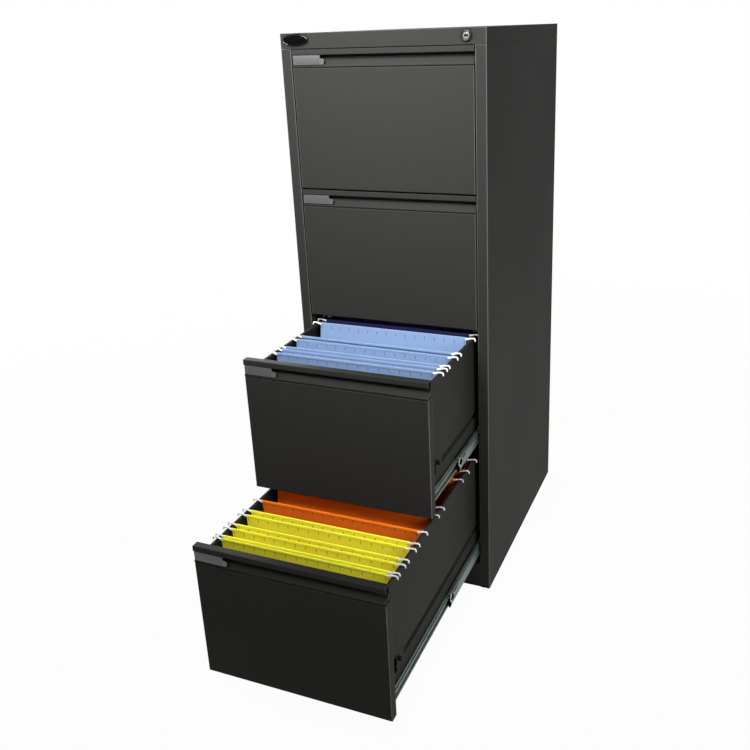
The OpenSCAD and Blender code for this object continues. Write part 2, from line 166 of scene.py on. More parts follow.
class SlideSettings(bpy.types.PropertyGroup):
    ball_d: length("Ball", 3.0, "Diameter of the steel balls")
    ball_step: length("Ball spacing", 15, "Distance from one ball to the next")
    rivet_d: length("Rivet", 6.4, "Diameter of the rivet heads")
    rivet_h: length("Rivet height", 1.3, "Height of the rivet heads")
    wall: length("Wall", 1.0, "Thickness of the rolled slide members")
    step: length("Step", 1.3, "How far a member's web is rolled in between its two ball races")
    race: length("Race", 5.5, "Height of each ball race on a member's outer face")


class FileSettings(bpy.types.PropertyGroup):
    blue: colour("Blue", "#738bb0", "Light blue card")
    navy: colour("Navy", "#23204c", "Navy card")
    yellow: colour("Yellow", "#fff43c", "Yellow card")
    orange: colour("Orange", "#f47a15", "Orange card")
    hook: colour("Hook", "#eeeeea", "White coating on the hooked bars")
    hem_h: length("Hem", 6.5, "Height of the folded hem that holds the bar")
    hem_t: length("Hem thickness", 2.6, "Thickness of the hem with its bar")
    tick_step: length("Slot spacing", 24, "Distance between the slots that take a title tab")
    tick_h: length("Slot height", 8, "Height of a slot")
    tick_w: length("Slot width", 1.7, "Width of a slot")


class FittingSettings(bpy.types.PropertyGroup):
    clear: colour("Holder", "#434443", "Clear plastic of the title holders")
    card: colour("Card", "#353638", "Blank grey title card")
    enamel: colour("Badge", "#060607", "Black enamel of the blank badge")
    dome: length("Badge dome", 1.6, "How far the middle of the badge stands above its rim")
    segments: IntProperty(
        name="Segments", description="Facets round a turned piece", min=12, max=96, default=48
    )


class StudioSettings(bpy.types.PropertyGroup):
    key: power("Key", 21.5, "Power of the softbox above the front")
    top: power("Top", 27, "Power of the softbox over the open drawers")
    side: power("Side", 3.5, "Power of the softbox on the right")
    back: power("Back", 90, "Power of the softbox behind, on the left")
    fill: FloatProperty(name="Fill", description="Strength of the even light all round", min=0, default=0.1)
    lens: FloatProperty(name="Lens", description="Focal length", unit="CAMERA", min=1, default=40.855)


GROUPS = {
    "cabinet_steel": SteelSettings,
    "cabinet_slides": SlideSettings,
    "cabinet_files": FileSettings,
    "cabinet_fittings": FittingSettings,
    "cabinet_studio": StudioSettings,
}


# ---- surfaces ----


def grid_faces(rows, cols, round_rows=False):
    """Quads between neighbouring points of a grid, closed round its columns and, if asked, round its rows."""
    i, j = np.meshgrid(np.arange(rows - (not round_rows)), np.arange(cols), indexing="ij")
    down, right = (i + 1) % rows, (j + 1) % cols
    quads = np.stack([i * cols + j, i * cols + right, down * cols + right, down * cols + j], -1)
    return quads.reshape(-1, 4).tolist()


def tube(rings, m):
    """Faces of a tube of so many rings of m points, with a flat face over each end."""
    return [*grid_faces(rings, m), list(range(m)), list(range((rings - 1) * m, rings * m))]


def directions(path):
    """The unit direction of a path at each of its points."""
    along = np.gradient(path, axis=0)
    return along / np.linalg.norm(along, axis=1)[:, None]


def carried(path, section, scale=1.0):
    """A closed section carried along a path in the XZ plane, larger or smaller by a scale at each point.

    Point (i, k) is path[i] + scale[i] * (section[k].u * Y + section[k].v * N[i]), with N the normals."""
    path, section = np.asarray(path, float), np.asarray(section, float)
    size = np.broadcast_to(scale, len(path))[:, None, None]
    side = np.array([0.0, 1.0, 0.0])
    normal = np.cross(directions(path), side)
    across, up = section[None, :, :1] * size * side, section[None, :, 1:] * size * normal[:, None]
    return (path[:, None] + across + up).reshape(-1, 3), tube(len(path), len(section))


def drawn(section, y0, y1):
    """A closed section of (x, z) drawn out along Y: point (i, k) is (section[k].x, y_i, section[k].z)."""
    section = np.asarray(section, float)
    ends = np.array([y0, y1])[:, None]
    points = np.stack(np.broadcast_arrays(section[None, :, 0], ends, section[None, :, 1]), -1)
    return points.reshape(-1, 3), tube(2, len(section))


def slab(outline, x0, x1):
    """A closed outline of (y, z) given a thickness from x0 to x1."""
    points, faces = drawn(outline, x0, x1)
    return points[:, [1, 0, 2]], faces


def bent(path, r, steps=4):
    """A path with its inner corners rounded: each is the arc of radius r that touches both of its legs."""
    path = np.asarray(path, float)
    made = [path[:1]]
    for before, at, after in zip(path[:-2], path[1:-1], path[2:]):
        u, w = (before - at) / np.linalg.norm(before - at), (after - at) / np.linalg.norm(after - at)
        half = np.arccos(u @ w) / 2
        centre = at + (u + w) / np.linalg.norm(u + w) * r / np.sin(half)
        a, b = at + u * r / np.tan(half) - centre, at + w * r / np.tan(half) - centre
        t = np.linspace(0, 1, steps + 1)[:, None]
        swing = np.pi - 2 * half
        made.append(centre + (np.sin((1 - t) * swing) * a + np.sin(t * swing) * b) / np.sin(swing))
    return np.concatenate([*made, path[-1:]])


def walled(path, t):
    """A strip of thickness t: the path, and back along the same path moved t to its left."""
    along = directions(path)
    return np.concatenate([path, (path + t * np.stack([-along[:, 1], along[:, 0]], -1))[::-1]])


def turned(profile, segments):
    """A profile of (radius, height) turned about -Y: x = r cos t, z = r sin t, y = -height."""
    profile = np.asarray(profile, float)
    t = np.linspace(0, 2 * np.pi, segments, endpoint=False)
    r, h = profile[:, :1], profile[:, 1:]
    points = np.stack([r * np.cos(t), -h + 0 * t, r * np.sin(t)], -1)
    return points.reshape(-1, 3), grid_faces(len(profile), segments)


def ball(radius, rings=5, segments=8):
    """A sphere: x = r sin a cos t, y = r sin a sin t, z = r cos a."""
    a = np.linspace(0, np.pi, rings + 1)[:, None]
    t = np.linspace(0, 2 * np.pi, segments, endpoint=False)
    points = radius * np.stack([np.sin(a) * np.cos(t), np.sin(a) * np.sin(t), np.cos(a) + 0 * t], -1)
    return points.reshape(-1, 3), grid_faces(rings + 1, segments)


def rounded(half_u, half_v, r, steps=3):
    """A rectangle's outline with its corners turned at radius r."""
    a = np.linspace(0, np.pi / 2, steps + 1)
    made = []
    for su, sv, q in ((1, 1, 0), (-1, 1, 1), (-1, -1, 2), (1, -1, 3)):
        u = su * (half_u - r) + r * np.cos(a + q * np.pi / 2)
        v = sv * (half_v - r) + r * np.sin(a + q * np.pi / 2)
        made.append(np.stack([u, v], -1))
    return np.concatenate(made)


def copies(shape, places):
    """The same shape at each of the places, as one set of points and faces."""
    points, faces = shape
    places = np.asarray(places, float).reshape(-1, 3)
    moved = (points[None] + places[:, None]).reshape(-1, 3)
    step = len(points)
    return moved, [[v + k * step for v in f] for k in range(len(places)) for f in faces]


def joined(shapes):
    """Several shapes as one set of points and faces."""
    points, faces, start = [], [], 0
    for p, f in shapes:
        points.append(p)
        faces += [[v + start for v in face] for face in f]
        start += len(p)
    return np.concatenate(points), faces


def handed(shape, sign):
    """A right-hand shape as it is for a sign of 1, and mirrored in X for -1."""
    return shape[0] * np.array([sign, 1, 1]), shape[1]


def piece(name, shape, material, body):
    """Makes a closed shape into a mesh with outward faces, and sets it on its body."""
    points, faces = shape
    mesh = bpy.data.meshes.new(name)
    mesh.from_pydata(np.asarray(points).tolist(), [], faces)
    bm = bmesh.new()
    bm.from_mesh(mesh)
    bmesh.ops.remove_doubles(bm, verts=bm.verts, dist=1e-7)
    bmesh.ops.recalc_face_normals(bm, faces=bm.faces)
    bm.to_mesh(mesh)
    bm.free()
    mesh.materials.append(material)
    mesh.shade_smooth()
    mesh.set_sharp_from_angle(angle=SHARP)
    made = bpy.data.objects.new(name, mesh)
    bpy.context.scene.collection.objects.link(made)
    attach(made, body)
    return made


# ---- where the solids are ----


def middle(node):
    """The middle of a solid's box."""
    lo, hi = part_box(node)
    return (lo + hi) / 2


def file_bars(node):
    """Where each sheet of a set of files hangs: the middle in Y of each group of top points, and the top.

    Points within 0.3 mm of the highest count as top, and a gap of 1.5 mm in Y starts the next sheet."""
    co = np.array([v.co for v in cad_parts[node].data.vertices], float)
    top = co[:, 2].max()
    y = np.sort(np.unique(np.round(co[co[:, 2] > top - 0.3 * MM][:, 1], 6)))
    groups = np.split(y, np.where(np.diff(y) > 1.5 * MM)[0] + 1)
    return [float((g.min() + g.max()) / 2) for g in groups], float(top)


def dress(node, material):
    """Gives a solid its finish."""
    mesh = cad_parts[node].data
    mesh.materials.clear()
    mesh.materials.append(material)


# ---- materials ----


def add(tree, kind, inputs=None, out=0, **settings):
    """Adds a shader node with its settings and links, and gives one of its outputs, for another's input."""
    made = tree.nodes.new(kind)
    for key, value in settings.items():
        setattr(made, key, value)
    for key, value in (inputs or {}).items():
        if isinstance(value, bpy.types.NodeSocket):
            tree.links.new(value, made.inputs[key])
        else:
            made.inputs[key].default_value = value
    return made.outputs[out] if made.outputs else made


def started(name):
    """An empty material with its tree, and Object coordinates in metres."""
    material = bpy.data.materials.get(name) or bpy.data.materials.new(name)
    material.use_nodes = True
    tree = material.node_tree
    tree.nodes.clear()
    return material, tree, add(tree, "ShaderNodeTexCoord", out="Object")


def ended(material, tree, shader):
    """Links the finished shader to the material's surface."""
    add(tree, "ShaderNodeOutputMaterial", {"Surface": shader})
    return material


def per(mm):
    """The scale of a pattern whose cells are so many millimetres across."""
    return 1 / (mm * MM)


def powder_coat(name, base, ripple, edge, rolled=False):
    """Polyester powder coat, sprayed dry and baked: it flows into a fine orange-peel ripple with a low sheen.

    The ripple is drawn at its real spacing of about 1.4 mm, and the sheen drifts over a third of a metre. The
    flecks, really finer than 0.1 mm, are drawn 1.6 mm across so that they show. Over a fold the colour is
    lightened as a painted highlight: a sharp fold is where a rounded normal turns away from the flat one, and
    an upright rolled one is where the steel faces between two axes, apart from slopes at 45 degrees. Folds that
    look down get no painted highlight. In narrow gaps and inner corners, up to 8 mm out, the colour is
    darkened as painted shade and the finish is rougher."""
    material, tree, at = started(name)
    peel = add(
        tree, "ShaderNodeTexNoise", {"Vector": at, "Scale": 1 / ripple, "Detail": 2.0, "Roughness": 0.5}
    )
    drift = add(
        tree, "ShaderNodeTexNoise", {"Vector": at, "Scale": per(1000 / 3), "Detail": 2.0, "Roughness": 0.5}
    )
    fleck = add(tree, "ShaderNodeTexNoise", {"Vector": at, "Scale": per(1.613), "Detail": 1.0})
    tone = add(
        tree, "ShaderNodeMix", {0: fleck, 6: shade(base, 0.92), 7: shade(base, 1.08)}, 2, data_type="RGBA"
    )
    # How far the rounded normal agrees with the flat one: 1 on a face, less over a sharp fold
    fold = add(tree, "ShaderNodeBevel", {"Radius": edge}, samples=4)
    flat = add(tree, "ShaderNodeNewGeometry", out="True Normal")
    turn = add(tree, "ShaderNodeVectorMath", {0: fold, 1: flat}, "Value", operation="DOT_PRODUCT")
    fold_highlight = add(
        tree, "ShaderNodeMapRange",
        {"Value": turn, "From Min": 0.75, "From Max": 0.97, "To Min": 1.0, "To Max": 0.0},
    )
    lean = add(tree, "ShaderNodeSeparateXYZ", {"Vector": fold}, "Z")
    fold_not_facing_down = add(tree, "ShaderNodeMapRange", {"Value": lean, "From Min": -0.25, "From Max": -0.05})
    fold_highlight = add(tree, "ShaderNodeMath", {0: fold_highlight, 1: fold_not_facing_down}, operation="MULTIPLY")
    if rolled:
        # The greatest part of the flat normal is 1 on a face square to an axis, and less on a rolled fold,
        # which gets the painted highlight too
        size = add(tree, "ShaderNodeVectorMath", {0: flat}, operation="ABSOLUTE")
        x, y, z = add(tree, "ShaderNodeSeparateXYZ", {"Vector": size}).node.outputs
        most = add(tree, "ShaderNodeMath", {0: x, 1: y}, operation="MAXIMUM")
        most = add(tree, "ShaderNodeMath", {0: most, 1: z}, operation="MAXIMUM")
        bend = add(
            tree, "ShaderNodeMapRange",
            {"Value": most, "From Min": 0.94, "From Max": 1.0, "To Min": 1.0, "To Max": 0.0},
        )
        slope = add(tree, "ShaderNodeMath", {0: most, 1: 0.7071, 2: 0.008}, operation="COMPARE")
        bend = add(tree, "ShaderNodeMath", {0: bend, 1: slope}, operation="SUBTRACT", use_clamp=True)
        upright = add(tree, "ShaderNodeMath", {0: z, 1: 0.0, 2: 0.05}, operation="COMPARE")
        bend = add(tree, "ShaderNodeMath", {0: bend, 1: upright}, operation="MULTIPLY")
        fold_highlight = add(tree, "ShaderNodeMath", {0: fold_highlight, 1: bend}, operation="MAXIMUM")
    # The folds are lightened towards five times the base colour: a painted highlight
    tone = add(tree, "ShaderNodeMix", {0: fold_highlight, 6: tone, 7: shade(base, 5)}, 2, data_type="RGBA")
    # How open a place is: 1 in the open, less in a gap or an inner corner, where the colour is darkened as
    # painted shade and the finish made rougher
    open_air = add(tree, "ShaderNodeAmbientOcclusion", {"Distance": 8 * MM}, "AO", samples=8)
    gap_shade_mask = add(
        tree, "ShaderNodeMapRange",
        {"Value": open_air, "From Min": 0.6, "From Max": 0.96, "To Min": 1.0, "To Max": 0.0},
    )
    tone = add(tree, "ShaderNodeMix", {0: gap_shade_mask, 6: tone, 7: shade(base, 0.1)}, 2, data_type="RGBA")
    rough = add(
        tree, "ShaderNodeMapRange",
        {"Value": drift, "From Min": 0.3, "From Max": 0.7, "To Min": 0.54, "To Max": 0.59},
    )
    rough = add(
        tree, "ShaderNodeMath", {0: gap_shade_mask, 1: 0.4, 2: rough}, operation="MULTIPLY_ADD", use_clamp=True
    )
    bump = add(
        tree, "ShaderNodeBump", {"Height": peel, "Strength": 0.14, "Distance": 0.15 * MM, "Normal": fold}
    )
    shader = add(
        tree, "ShaderNodeBsdfPrincipled",
        {"Base Color": tone, "Roughness": rough, "Specular IOR Level": 0.035, "Normal": bump},
    )
    return ended(material, tree, shader)


def plated(name, base, rough, grain, bright=1.0):
    """Bright plating on rolled metal: the roll's fine lines run along Y, and the passivation clouds its tint.

    The lines are a grain apart and 50 times as long, and the clouds are 36 mm across. Folded edges are
    lightened by the given factor, over about a millimetre, as a painted highlight."""
    material, tree, at = started(name)
    along = add(tree, "ShaderNodeMapping", {"Vector": at, "Scale": (1.0, 1 / 50, 1.0)})
    lines = add(tree, "ShaderNodeTexNoise", {"Vector": along, "Scale": 1 / grain, "Detail": 2.0})
    cloud = add(tree, "ShaderNodeTexNoise", {"Vector": at, "Scale": per(35.7), "Detail": 3.0})
    tint = add(tree, "ShaderNodeMix", {0: cloud, 6: shade(base, 0.82), 7: base}, 2, data_type="RGBA")
    fold = add(tree, "ShaderNodeBevel", {"Radius": 0.9 * MM}, samples=4)
    flat = add(tree, "ShaderNodeNewGeometry", out="True Normal")
    turn = add(tree, "ShaderNodeVectorMath", {0: fold, 1: flat}, "Value", operation="DOT_PRODUCT")
    painted_edge_highlight = add(
        tree, "ShaderNodeMapRange",
        {"Value": turn, "From Min": 0.8, "From Max": 0.97, "To Min": 1.0, "To Max": 0.0},
    )
    # Folded edges are lightened by the factor bright: a painted highlight
    tint = add(tree, "ShaderNodeMix", {0: painted_edge_highlight, 6: tint, 7: shade(base, bright)}, 2, data_type="RGBA")
    wear_and_painted_light = add(
        tree, "ShaderNodeMapRange",
        {"Value": cloud, "From Min": 0.3, "From Max": 0.7, "To Min": rough - 0.06, "To Max": rough + 0.08},
    )
    bump = add(
        tree, "ShaderNodeBump", {"Height": lines, "Strength": 0.1, "Distance": 0.05 * MM, "Normal": fold}
    )
    shader = add(
        tree, "ShaderNodeBsdfPrincipled",
        {"Base Color": tint, "Metallic": 1.0, "Roughness": wear_and_painted_light, "Normal": bump},
    )
    return ended(material, tree, shader)


def file_card(name, base, files=None, top=0.0, window=0.0):
    """Dyed kraft card of about 230 g a square metre: long fibres, a matt face, and slots for title tabs.

    The fibres, really finer than 0.1 mm, are drawn 1.1 mm wide and four times as long so that they show, and
    the dye is blotched over 62 mm. A card behind a clear window has the window's shine over its own face."""
    material, tree, at = started(name)
    stretch = add(tree, "ShaderNodeMapping", {"Vector": at, "Scale": (1 / 4, 1.0, 1.0)})
    fibre = add(tree, "ShaderNodeTexNoise", {"Vector": stretch, "Scale": per(1.111), "Detail": 3.0})
    blotch = add(tree, "ShaderNodeTexNoise", {"Vector": at, "Scale": per(62.5), "Detail": 2.0})
    tone = add(tree, "ShaderNodeMix", {0: fibre, 6: shade(base, 0.9), 7: base}, 2, data_type="RGBA")
    tone = add(tree, "ShaderNodeMix", {0: blotch, 6: tone, 7: shade(base, 1.06)}, 2, data_type="RGBA")
    if files:
        # The slots stand a step apart: it is dark where X and Z are both within half a slot of its middle
        x, _, z = add(tree, "ShaderNodeSeparateXYZ", {"Vector": at}).node.outputs
        cell = add(tree, "ShaderNodeMath", {0: x, 1: files.tick_step}, operation="PINGPONG")
        cell = add(tree, "ShaderNodeMath", {0: cell, 1: files.tick_step / 2}, operation="SUBTRACT")
        across = add(tree, "ShaderNodeMath", {0: cell, 1: 0.0, 2: files.tick_w / 2}, operation="COMPARE")
        high = top - SLOT_DROP
        up = add(tree, "ShaderNodeMath", {0: z, 1: high, 2: files.tick_h / 2}, operation="COMPARE")
        slot = add(tree, "ShaderNodeMath", {0: across, 1: up}, operation="MULTIPLY")
        share = add(tree, "ShaderNodeMath", {0: slot, 1: 0.62}, operation="MULTIPLY")
        tone = add(tree, "ShaderNodeMix", {0: share, 6: tone, 7: shade(base, 0.12)}, 2, data_type="RGBA")
    bump = add(tree, "ShaderNodeBump", {"Height": fibre, "Strength": 0.12, "Distance": 0.1 * MM})
    shader = add(
        tree, "ShaderNodeBsdfPrincipled",
        {"Base Color": tone, "Roughness": 0.82, "Specular IOR Level": 0.25, "Coat Weight": window,
         "Coat Roughness": 0.3, "Normal": bump},
    )
    return ended(material, tree, shader)


def moulded(name, base, rough, spec=0.5, coat=0.0):
    """Moulded plastic or rubber, or a dipped or stoved coating: even colour, with a faint flow texture.

    That texture is drawn 2.2 mm across, coarser than it is, so that it shows."""
    material, tree, at = started(name)
    flow = add(tree, "ShaderNodeTexNoise", {"Vector": at, "Scale": per(2.222), "Detail": 2.0})
    tone = add(tree, "ShaderNodeMix", {0: flow, 6: shade(base, 0.94), 7: base}, 2, data_type="RGBA")
    bump = add(tree, "ShaderNodeBump", {"Height": flow, "Strength": 0.05, "Distance": 0.05 * MM})
    shader = add(
        tree, "ShaderNodeBsdfPrincipled",
        {"Base Color": tone, "Roughness": rough, "Specular IOR Level": spec, "Coat Weight": coat,
         "Coat Roughness": 0.03, "Normal": bump},
    )
    return ended(material, tree, shader)


def clear_plastic(name, base):
    """Extruded clear PVC, 1.4 mm thick: some of the light goes through, and faint draw lines run along it.

    They are drawn 1.4 mm apart, coarser than they are, and 33 times as long, so that they show. The back face
    reflects as well as the front one, so the holder shines about twice as much as one surface would."""
    material, tree, at = started(name)
    pulled = add(tree, "ShaderNodeMapping", {"Vector": at, "Scale": (0.03, 1.0, 1.0)})
    lines = add(tree, "ShaderNodeTexNoise", {"Vector": pulled, "Scale": per(1.429)})
    tone = add(tree, "ShaderNodeMix", {0: lines, 6: shade(base, 0.93), 7: base}, 2, data_type="RGBA")
    bump = add(tree, "ShaderNodeBump", {"Height": lines, "Strength": 0.05, "Distance": 0.05 * MM})
    shader = add(
        tree, "ShaderNodeBsdfPrincipled",
        {"Base Color": tone, "Roughness": 0.35, "IOR": 1.53, "Specular IOR Level": 0.9,
         "Transmission Weight": 0.25, "Normal": bump},
    )
    return ended(material, tree, shader)


# ---- operators ----


class CABINET_OT_steel(bpy.types.Operator):
    """Powder coat on the cabinet and drawers, zinc on the slides, nickel on the lock, nylon on the glides"""

    bl_idname = "cabinet.steel"
    bl_label = "Steel finishes"

    def execute(self, context):
        s = context.scene.cabinet_steel
        shell = powder_coat("powder_coat_graphite", s.shell, s.ripple, s.edge, True)
        inside = powder_coat("powder_coat_graphite_inside", s.inside, s.ripple, s.edge)
        # Zinc from the bath is a greenish grey and rather dull; nickel over turned brass is warmer and smoother
        # The last factor lightens the folded edges of the zinc and of the nickel as a painted highlight
        zinc = plated("zinc_plated_steel", s.zinc, 0.5, 0.35 * MM, 2.0)
        nickel = plated("nickel_plated_brass", s.nickel, 0.2, 0.2 * MM, 1.5)
        # Moulded nylon has a soft sheen, black where it is dyed for the glides and milky where it isn't
        nylon = moulded("black_nylon", srgb("#161616"), 0.5)
        guide = moulded("natural_nylon", srgb("#d8d8d0"), 0.45)
        finish = {"glides": nylon, "bar_guides": guide, "lock_housing": nickel, "lock_plug": nickel}
        inside_ends = ("_tray", "_sides", "_catch")
        inside_starts = ("posts", "back", "header", "base")
        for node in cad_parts:
            if node in finish:
                dress(node, finish[node])
            elif "slide" in node or "_mid_" in node or node.startswith("lock_"):
                dress(node, zinc)
            elif node.endswith(inside_ends) or node.startswith(inside_starts):
                dress(node, inside)
            else:
                dress(node, shell)
        return {"FINISHED"}


class CABINET_OT_slides(bpy.types.Operator):
    """Rolled slide members with their cages, latches and levers, the steel balls, and the rivets"""

    bl_idname = "cabinet.slides"
    bl_label = "Ball slides"

    def execute(self, context):
        s = context.scene.cabinet_slides
        # Ground balls are almost mirrors, pressed rivet heads are brighter than the strip, and acetal is dull
        steel = plated("chrome_steel_balls", srgb("#c8cbcc"), 0.12, 0.2 * MM)
        zinc = bpy.data.materials["zinc_plated_steel"]
        lever = moulded("black_acetal_lever", srgb("#0b0c0c"), 0.8, 0.0)
        bright = plated("zinc_plated_rivets", srgb("#a9b0ab"), 0.3, 0.2 * MM)
        for n in DRAWERS:
            for hand, sign in HANDS:
                lo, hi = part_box(f"drawer{n}_mid_{hand}")
                # Shapes are worked out on the right: the web's outer face, and the middle of its height
                web, z = (hi.x if sign > 0 else -lo.x), (lo.z + hi.z) / 2
                made = piece(
                    f"rolled_member_{hand}_{n}", handed(self.member(s, lo, hi, web, z), sign), zinc,
                    f"mid_{hand}_{n}",
                )
                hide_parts(f"drawer{n}_mid_{hand}")
                latch, levers = self.latch(s, lo, hi, web, z)
                piece(f"slide_latch_{hand}_{n}", handed(latch, sign), bright, f"mid_{hand}_{n}")
                piece(f"slide_levers_{hand}_{n}", handed(levers, sign), lever, f"mid_{hand}_{n}")
                balls = self.balls(s, lo, hi, sign * (web - 4.2 * MM), z)
                piece(f"balls_{hand}_{n}", balls, steel, f"mid_{hand}_{n}")
            lo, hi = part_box(f"drawer{n}_slides_inner")
            runner = self.runner(lo, hi)
            both = joined([runner, handed(runner, -1)])
            made = piece(f"rolled_runners_{n}", both, zinc, f"drawer_{n}")
            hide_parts(f"drawer{n}_slides_inner")
            piece(f"rivets_drawer_{n}", self.rivets(s, lo, hi), bright, f"drawer_{n}")
        return {"FINISHED"}

    def member(self, s, lo, hi, web, z):
        """One intermediate member: a strip bent round both races, its web rolled in between them, with cages.

        The cages outside its flanges stand past them and stay at the rear; those inside stay at the front."""
        h = (hi.z - lo.z) / 2 - CAGE_OUT
        front, back = lo.y + LEVER_ROOM, hi.y
        half = [(web - FLANGE, h), (web, h), (web, h - s.race), (web - s.step, h - s.race - s.step)]
        strip = walled(bent(half + [(x, -v) for x, v in half[::-1]], FOLD), -s.wall)
        shapes = [drawn(strip + np.array([0, z]), front, back)]
        inside = min(CAGE_LENGTH, back - front - 2 * CAGE_END)
        for k in (-1, 1):
            over = np.array([web - 4.15 * MM, z + k * (h + 0.85 * MM)])
            under = np.array([web - 5.2 * MM, z + k * (h - 1.9 * MM)])
            outer = rounded(1.75 * MM, 0.8 * MM, 0.3 * MM, 1) + over
            inner = rounded(1.5 * MM, 0.8 * MM, 0.3 * MM, 1) + under
            shapes.append(drawn(outer, back - CAGE_LENGTH, back - CAGE_END))
            shapes.append(drawn(inner, front + CAGE_END, front + inside))
        return joined(shapes)

    def latch(self, s, lo, hi, web, z):
        """The latch into which the web's front end curls, and the black levers before it and in the web.

        The last lever lies in the rolled-in part of the web. A black strip along the outer face of the upper
        race is a line of painted shade."""
        h = (hi.z - lo.z) / 2 - CAGE_OUT
        front, back = lo.y + LEVER_ROOM, hi.y
        end = np.array([front, z])
        curl = bent(np.array(LATCH) * MM + end, 3 * MM)
        latch = slab(walled(curl, 3 * MM), web - 0.6 * MM, web + 0.6 * MM)
        faces = [web, web, web, web - s.step]
        levers = []
        for face, (half_y, half_z, r, y, up) in zip(faces, LEVERS):
            outline = rounded(half_y * MM, half_z * MM, r * MM, 4) + end + np.array([y, up]) * MM
            levers.append(slab(outline, web - 2.6 * MM, face + LEVER_PROUD))
        # A black strip along the upper race: painted shade
        line = rounded(0.4 * MM, 1.3 * MM, 0.2 * MM, 1) + np.array([web - 0.2 * MM, z + h - 3.0 * MM])
        levers.append(drawn(line, front + 8 * MM, back - 6 * MM))
        return latch, joined(levers)

    def balls(self, s, lo, hi, x, z):
        """The balls of the outer cages, one row above the member and one below, at its rear end."""
        r = s.ball_d / 2
        y = np.arange(hi.y - (CAGE_LENGTH - BALL_END), hi.y - (CAGE_END + BALL_END), s.ball_step)
        reach = (hi.z - lo.z) / 2 - r - 0.6 * MM
        return copies(ball(r), [(x, v, z + k * reach) for v in y for k in (-1, 1)])

    def runner(self, lo, hi):
        """The drawer's right member: a channel open to the outside, a ball race rolled along each flange."""
        z, h, out = (lo.z + hi.z) / 2, (hi.z - lo.z) / 2, hi.x
        web, wall = out - FLANGE, RUNNER_WALL
        x = np.array([0, 0, 2.0, 2.6, 4.9, 5.5, 7.7]) * MM
        drop = np.array([2.6, 0, 0, 1.1, 1.1, 0, 0]) * MM
        outer = np.stack([out - x, h - drop], -1)
        under = h - 2.1 * MM
        inner = np.array([(web + wall, under), (out - wall, under), (out - wall, h - 2.6 * MM)])
        flip = np.array([1, -1])
        section = np.concatenate([outer, outer[::-1] * flip, inner[::-1] * flip, inner])
        return drawn(section + np.array([0, z]), lo.y, hi.y)

    def rivets(self, s, lo, hi):
        """Domed heads along the webs of both members: a quarter ellipse, turned, with its axis along X."""
        t = np.linspace(0, np.pi / 2, 6)
        dome = np.stack([s.rivet_d / 2 * np.cos(t), s.rivet_h * np.sin(t)], -1)
        upright, faces = turned(np.concatenate([[[0, 0]], dome]), 16)
        z = (lo.z + hi.z) / 2
        face = hi.x - (FLANGE - RUNNER_WALL + SUNK)
        shapes = []
        for _, sign in HANDS:
            # The head's axis turns from -Y to X, outwards on each side of the drawer
            head = np.stack([sign * -upright[:, 1], upright[:, 0], upright[:, 2]], -1)
            rows = np.linspace(lo.y + RIVET_END, hi.y - RIVET_END, RIVETS)
            shapes.append(copies((head, faces), [(sign * face, y, z) for y in rows]))
        return joined(shapes)


class CABINET_OT_files(bpy.types.Operator):
    """Dyed card for the hanging files, their folded hems, and the white hooked ends of their bars"""

    bl_idname = "cabinet.files"
    bl_label = "Hanging files"

    def execute(self, context):
        s = context.scene.cabinet_files
        # The bars are dipped in white plastic, which leaves a soft shine
        coated = moulded("white_coated_steel", s.hook, 0.35, 0.5, 0.2)
        section = rounded(s.hem_t / 2, s.hem_h / 2, 1.0 * MM)
        for n, nodes in FILES.items():
            hooks = []
            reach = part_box(f"file_hooks_{n}")[1]
            for node in nodes:
                dye = node.split("_")[1]
                bars, top = file_bars(node)
                lo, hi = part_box(node)
                # Each face is darkened as painted shade, and each hem lightened as painted light
                dress(node, file_card(f"kraft_card_{dye}", shade(getattr(s, dye), SHADED_FACE_SHARE), s, top))
                wear_and_painted_light = file_card(f"kraft_card_{dye}_hem", shade(getattr(s, dye), LIT_HEM_SHARE))
                z = top + HEM_LIFT - s.hem_h / 2
                hems = joined([carried([(lo.x, y, z), (hi.x, y, z)], section) for y in bars])
                piece(f"hems_{dye}", hems, wear_and_painted_light, f"drawer_{n}")
                for y in bars:
                    hooks += self.hooks(y, reach.x, reach.z, hi.x)
            made = piece(f"hooked_bars_{n}", joined(hooks), coated, f"drawer_{n}")
            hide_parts(f"file_hooks_{n}")
        return {"FINISHED"}

    def hooks(self, y, out, up, card_x):
        """Both ends of a bar: up from the card's corner, out over the drawer's side, and a quarter turn down.

        The bar widens towards the card and narrows towards its tip."""
        r = 3.6 * MM
        x, z = out - 1.2 * MM, up - 1.2 * MM
        bend = np.linspace(np.pi / 2, 0, 7)
        rise = np.array([3.2, 2.4, 0.9, 0.1, 0.0]) * MM
        run = np.stack([np.linspace(card_x - 1 * MM, x - r, 5), z - rise], -1)
        turn = np.stack([x - r + r * np.cos(bend), z - r + r * np.sin(bend)], -1)
        tip = up - HOOK_DROP + 1 * MM
        drop = np.stack([np.full(3, x), np.linspace(z - r - 1 * MM, tip, 3)], -1)
        flat = np.concatenate([run, turn[1:], drop])
        path = np.stack([flat[:, 0], np.full(len(flat), y), flat[:, 1]], -1)
        last = len(path) - 1
        scale = np.interp(np.arange(len(path)), [0, 1, 3, last - 1, last], [1.6, 1.4, 1, 0.95, 0.6])
        right = carried(path, rounded(1.2 * MM, 1.6 * MM, 0.8 * MM, 2), scale)
        return [right, handed(right, -1)]


